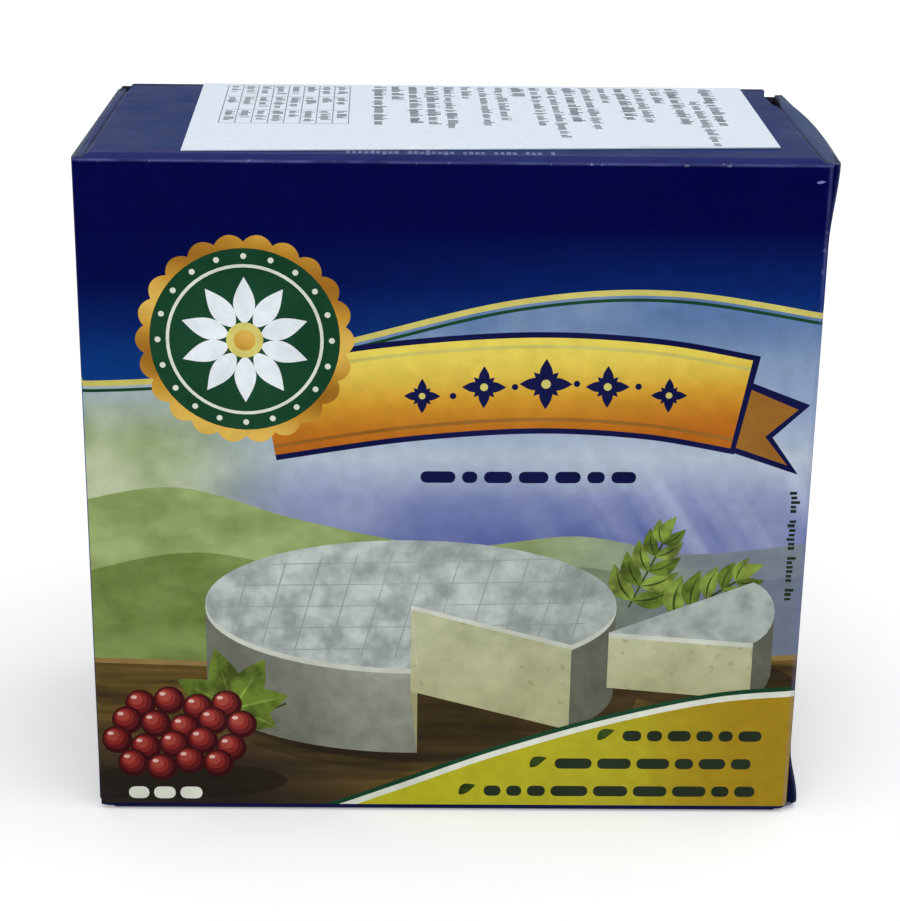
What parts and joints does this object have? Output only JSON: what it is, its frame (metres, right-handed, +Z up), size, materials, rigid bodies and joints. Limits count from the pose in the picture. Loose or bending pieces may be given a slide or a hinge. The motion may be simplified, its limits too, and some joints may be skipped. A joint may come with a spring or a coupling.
{
  "type": "cheese carton",
  "caption": "Shut square paperboard carton for a small tinned cheese, standing upright, with tucked ends and a white paper sticker on its top panel",
  "frame": {"origin": "middle of the bottom panel, on the surface the carton stands on", "axes": "+Z up, +Y from the printed front panel towards the back panel, +X along the front panel towards the end with the bowed closure"},
  "size_m": [0.091, 0.0429, 0.0862],
  "materials": {
    "printed_board": "coated paperboard printed in dark blue, pale blue, cream, green and yellow fields, satin gloss",
    "label_paper": "white uncoated sticker paper, matt, with pale grey bars"
  },
  "bodies": {
    "root": {"carton": "printed_board", "label": "label_paper"}
  },
  "joints": []
}
